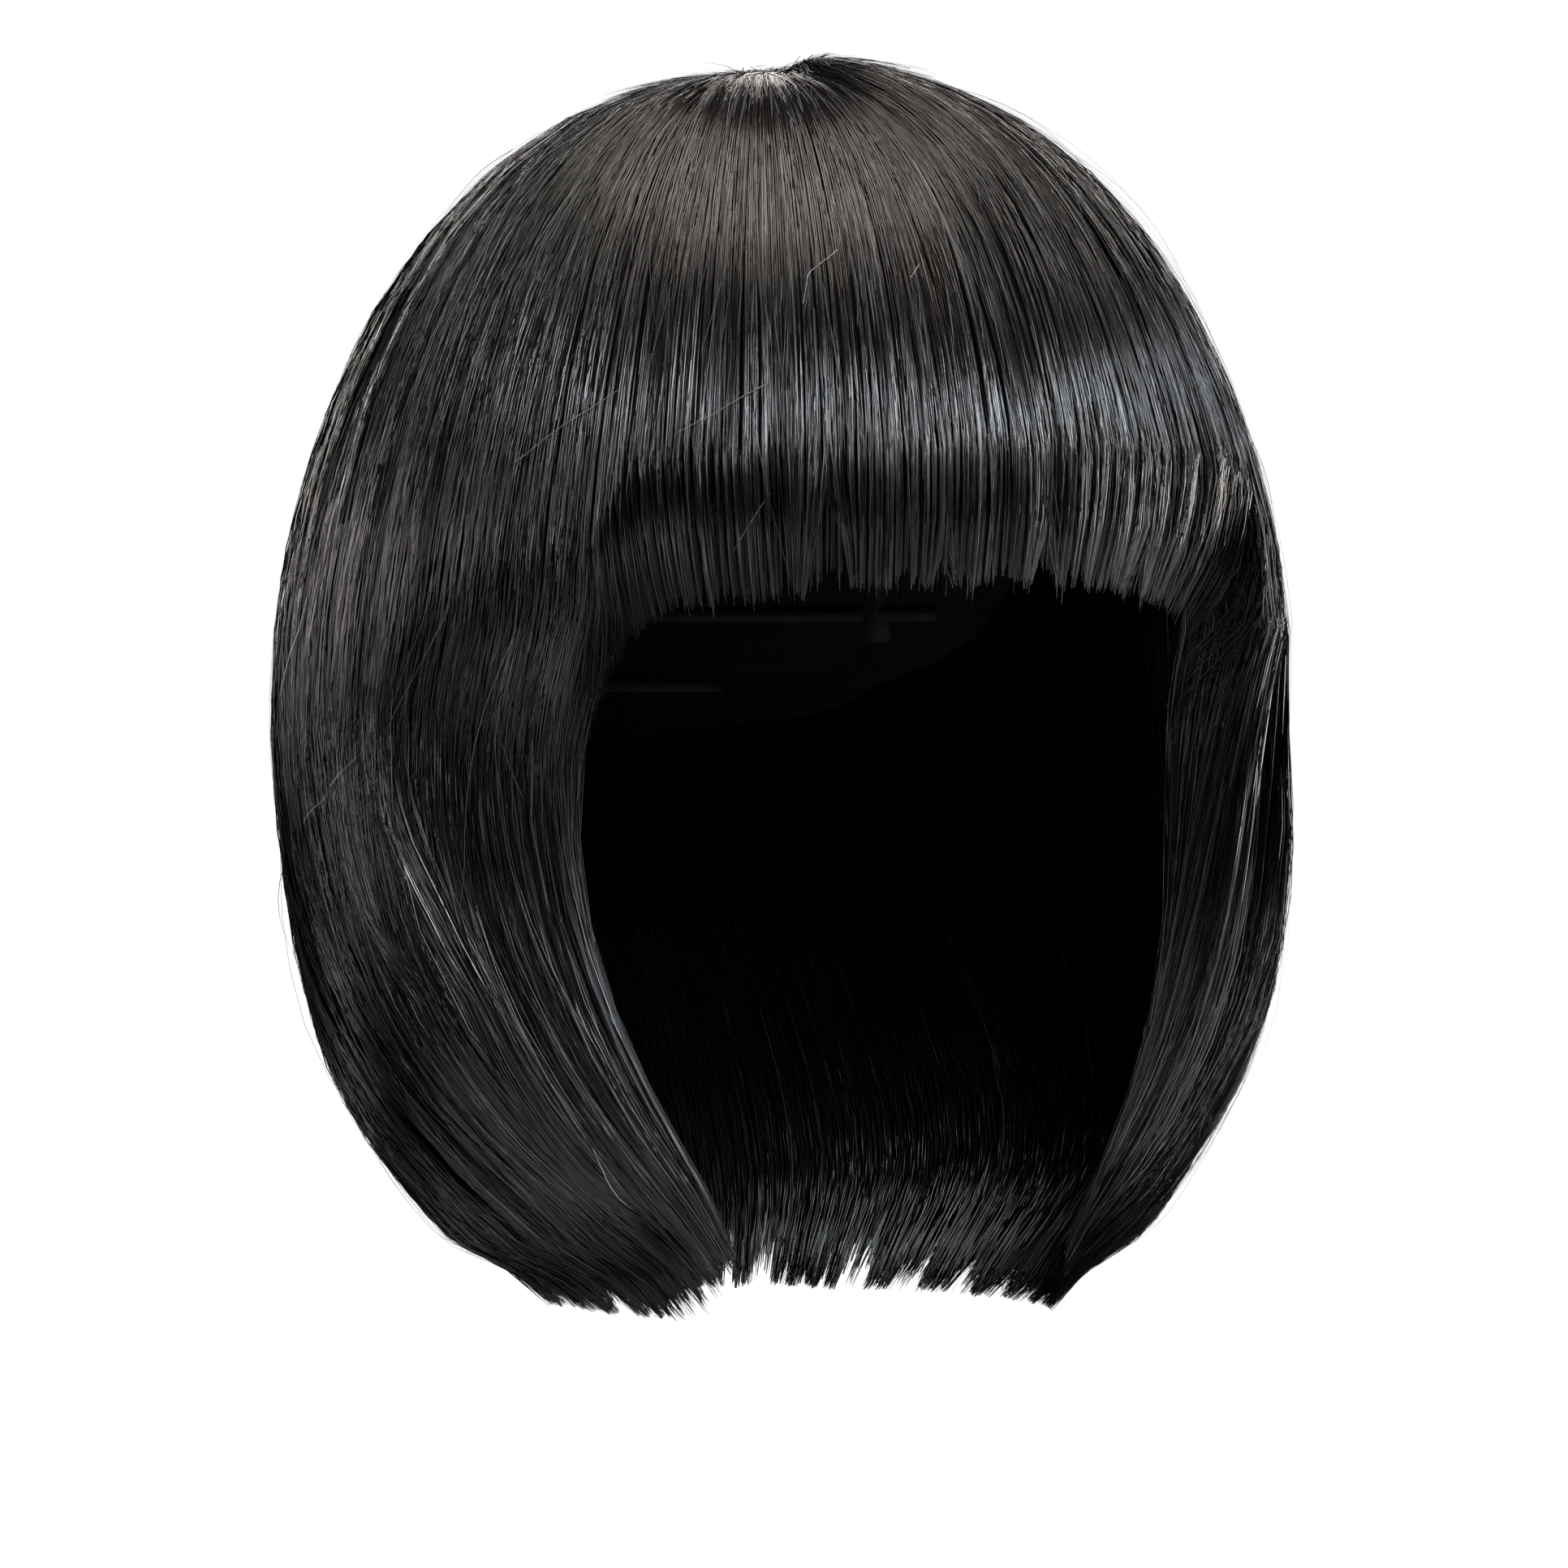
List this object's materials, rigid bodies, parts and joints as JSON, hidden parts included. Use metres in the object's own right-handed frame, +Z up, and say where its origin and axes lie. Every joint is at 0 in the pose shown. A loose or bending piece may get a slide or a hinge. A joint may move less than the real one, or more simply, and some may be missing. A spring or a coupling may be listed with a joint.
{
  "type": "bob wig",
  "caption": "Chin-length straight bob wig with a full fringe: a close cap under fringe, side and back hair that radiate from a crown whorl and curl in to jagged tips.",
  "frame": {"origin": "crown point: the highest point inside the cap, where it touches the top of the wearer's head", "axes": "+Z up, -Y the way the wearer's face looks, +X towards the wearer's left ear"},
  "size_m": [0.2154, 0.2191, 0.2541],
  "materials": {
    "hair_fibre": "glossy near-black synthetic hair fibre with a soft streaky sheen across the strands",
    "cap_net": "matt black stretch net with rows of sewn hair tape and an elastic hem"
  },
  "bodies": {
    "root": {"wig_cap": "cap_net", "crown_whorl": "hair_fibre", "fringe": "hair_fibre", "side_hair_right": "hair_fibre", "side_hair_left": "hair_fibre", "back_hair": "hair_fibre"}
  },
  "joints": []
}
